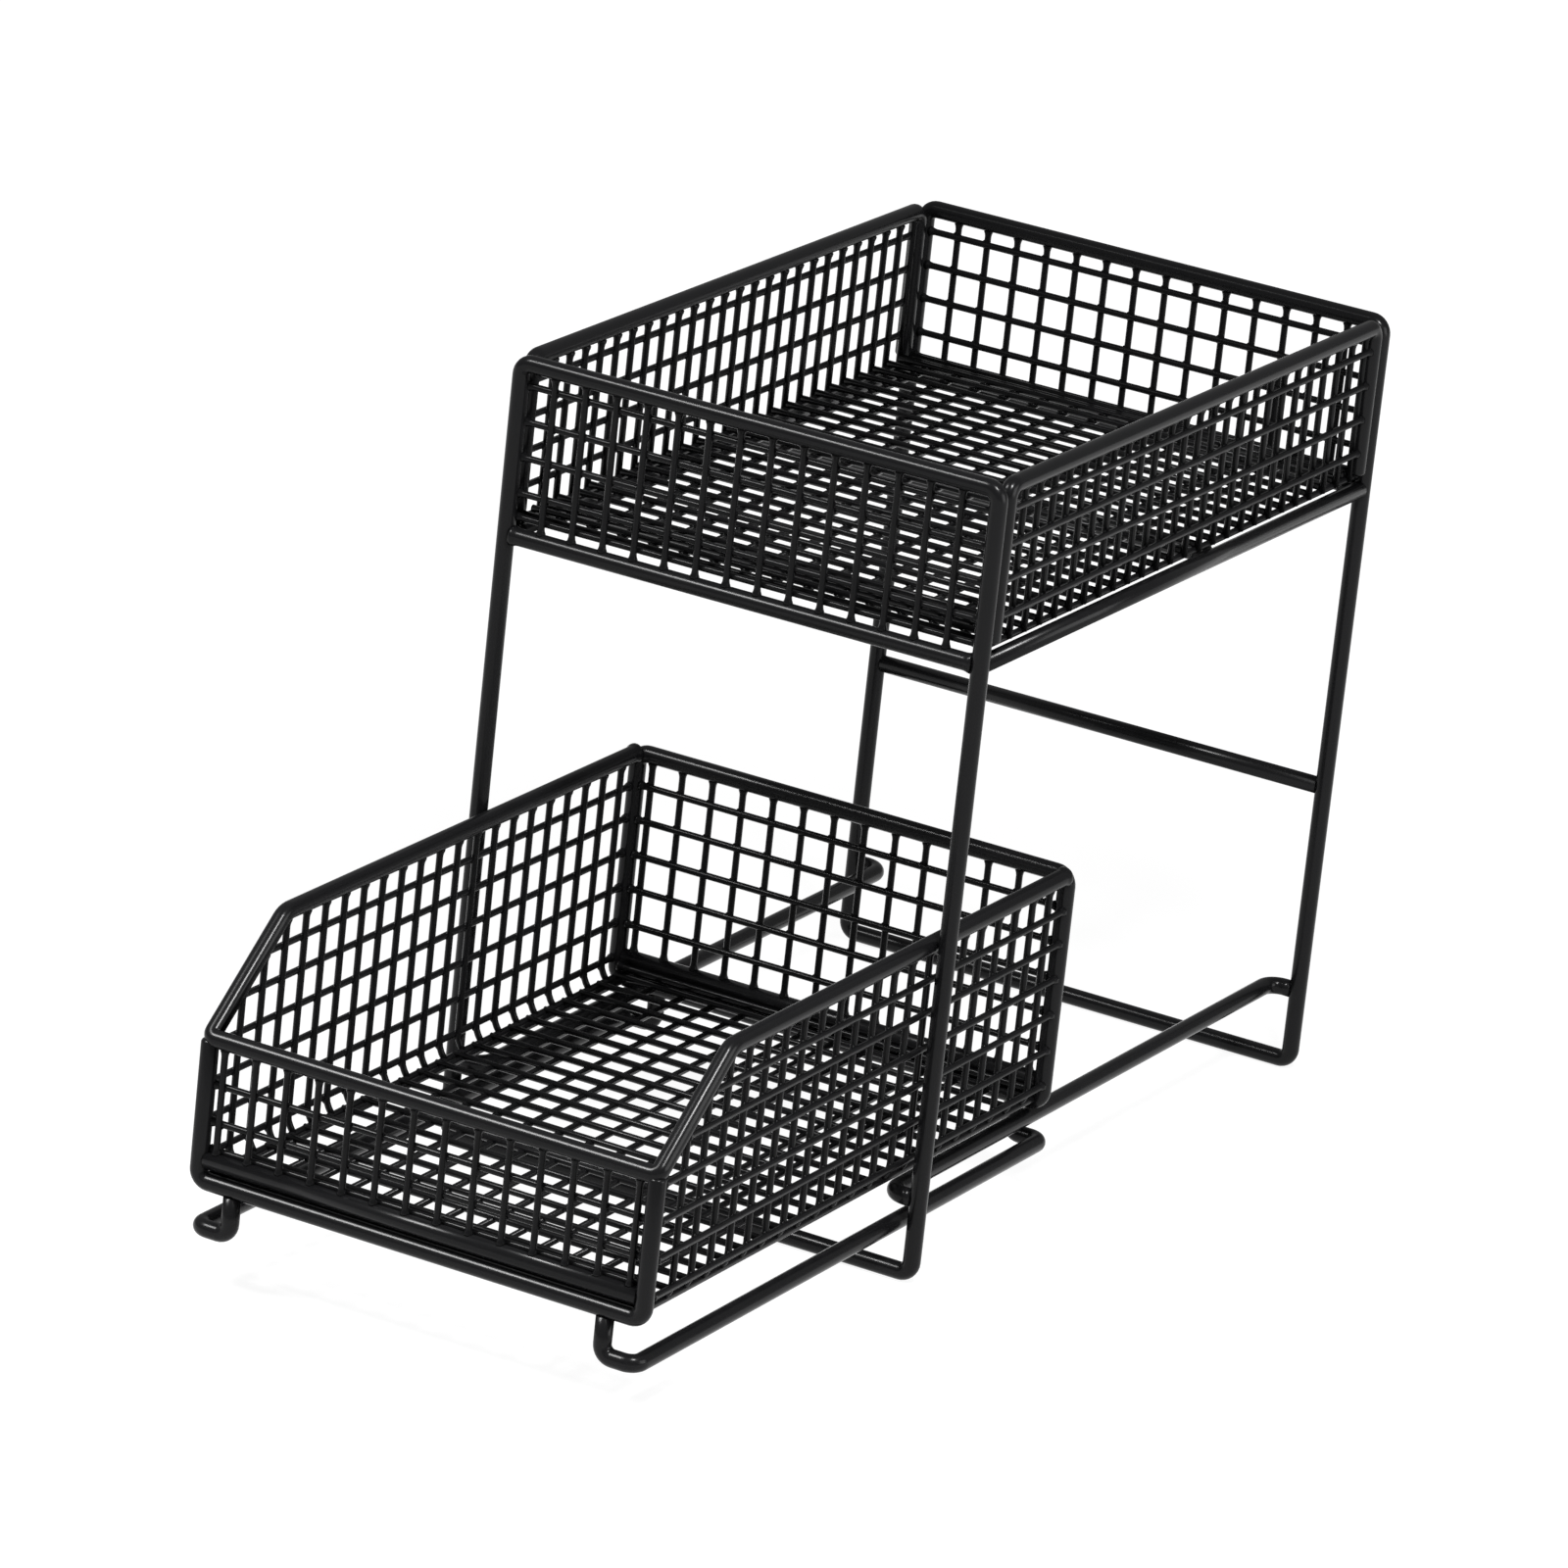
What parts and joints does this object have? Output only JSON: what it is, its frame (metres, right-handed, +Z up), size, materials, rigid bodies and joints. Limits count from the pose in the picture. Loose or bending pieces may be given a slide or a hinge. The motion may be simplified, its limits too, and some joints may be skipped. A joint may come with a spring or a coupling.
{
  "type": "wire organizer rack",
  "caption": "Tiered wire-mesh organizer rack: a fixed upper basket on bent-wire legs over a slant-front mesh drawer that slides out on wire rails.",
  "frame": {"origin": "middle of the underside of the front floor bar, between the front legs", "axes": "+X across the rack to its right as seen from the front, +Y from the front to the back, +Z up"},
  "size_m": [0.1902, 0.4565, 0.2834],
  "materials": {
    "coated_wire": "satin black coating",
    "coated_mesh": "satin black coating"
  },
  "bodies": {
    "rack": {"front_frame": "coated_wire", "rear_frame": "coated_wire", "rear_cross_bar": "coated_wire", "basket_front_bar": "coated_wire", "basket_rear_bar": "coated_wire", "basket_middle_bar": "coated_wire", "basket_left_frame": "coated_wire", "basket_right_frame": "coated_wire", "basket_left_low_rail": "coated_wire", "basket_right_low_rail": "coated_wire", "left_slide_rail": "coated_wire", "right_slide_rail": "coated_wire", "basket_front_net": "coated_mesh", "basket_rear_net": "coated_mesh", "basket_left_net": "coated_mesh", "basket_right_net": "coated_mesh", "basket_floor_net": "coated_mesh"},
    "drawer": {"drawer_top_wire": "coated_wire", "drawer_front_wire": "coated_wire", "drawer_rear_frame": "coated_wire", "drawer_front_floor_bar": "coated_wire", "drawer_rear_floor_bar": "coated_wire", "drawer_left_floor_wire": "coated_wire", "drawer_right_floor_wire": "coated_wire", "drawer_left_runner": "coated_wire", "drawer_right_runner": "coated_wire", "drawer_front_net": "coated_mesh", "drawer_rear_net": "coated_mesh", "drawer_left_net": "coated_mesh", "drawer_right_net": "coated_mesh", "drawer_floor_net": "coated_mesh"}
  },
  "joints": [
    {"name": "drawer_slide", "type": "slide", "parent": "rack", "child": "drawer", "axis": [0, -1, 0], "range_m": [-0.176, 0.04]}
  ]
}
